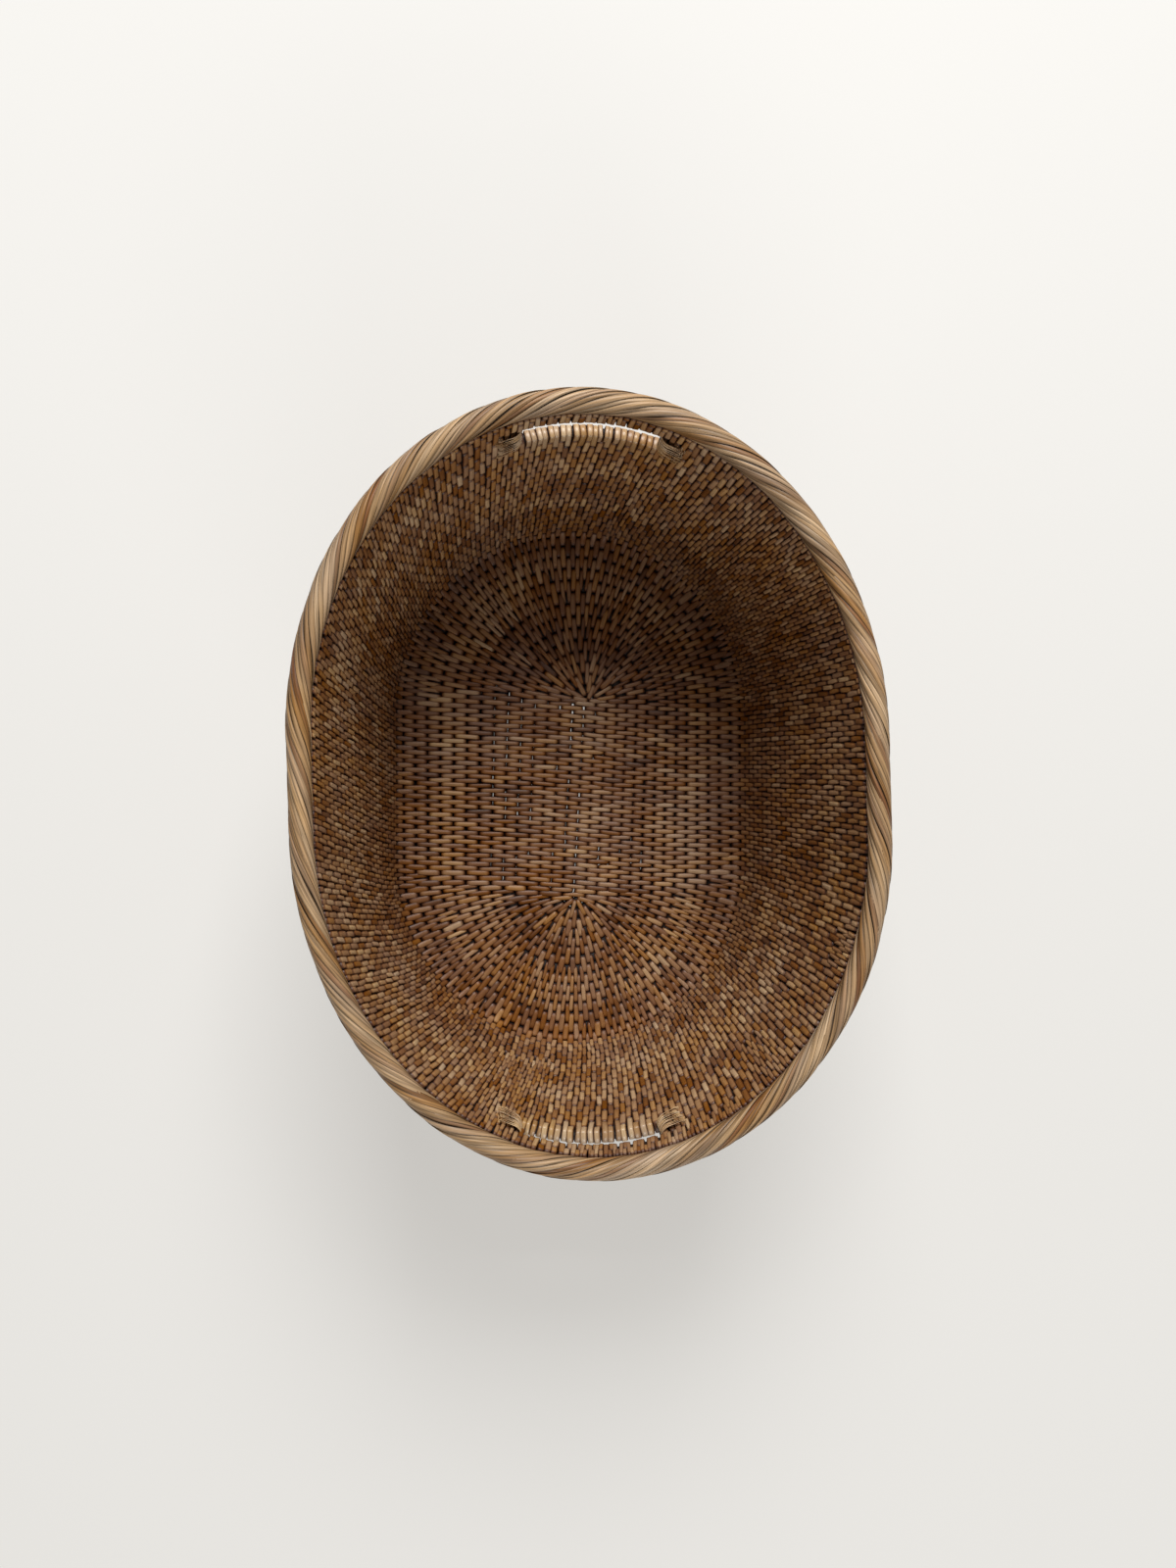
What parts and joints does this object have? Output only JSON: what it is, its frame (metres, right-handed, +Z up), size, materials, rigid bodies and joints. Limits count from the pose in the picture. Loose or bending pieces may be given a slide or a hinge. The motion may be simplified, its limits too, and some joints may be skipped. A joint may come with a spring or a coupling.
{
  "type": "coiled rattan basket",
  "caption": "Oval coiled rattan basket with a flat floor, leaning walls, a hand slot at each end and a thick wrapped rim.",
  "frame": {"origin": "on the ground, under the middle of the basket", "axes": "+Z up; +Y along the basket's length, from one hand slot to the other; +X across it"},
  "size_m": [0.4048, 0.5304, 0.2575],
  "materials": {
    "rattan_coil": "satin",
    "rattan_strip": "satin",
    "rattan_core": "matte",
    "rim_strip": "satin"
  },
  "bodies": {
    "root": {"floor_coil_rod_1": "rattan_coil", "floor_coil_rod_2": "rattan_coil", "floor_coil_rod_3": "rattan_coil", "corner_coil_rod": "rattan_coil", "wall_coil_rod_1": "rattan_coil", "wall_coil_rod_2": "rattan_coil", "wall_coil_rod_3": "rattan_coil", "wall_coil_rod_4": "rattan_coil", "wall_coil_rod_5": "rattan_coil", "wall_coil_rod_6": "rattan_coil", "wall_coil_rod_7": "rattan_coil", "wall_coil_rod_8": "rattan_coil", "wall_coil_rod_9": "rattan_coil", "wall_coil_rod_10": "rattan_coil", "wall_coil_rod_11": "rattan_coil", "slot_coil_rod_left_1": "rattan_coil", "slot_coil_rod_right_1": "rattan_coil", "slot_coil_rod_left_2": "rattan_coil", "top_coil_rod": "rattan_coil", "slot_binding_front_left": "rattan_strip", "slot_binding_front_right": "rattan_strip", "slot_binding_rear_left": "rattan_strip", "slot_binding_rear_right": "rattan_strip", "slot_edge_wrap_front": "rattan_strip", "slot_edge_wrap_rear": "rattan_strip", "rim_core_rod": "rattan_core", "rim_wrap": "rim_strip"}
  },
  "joints": []
}
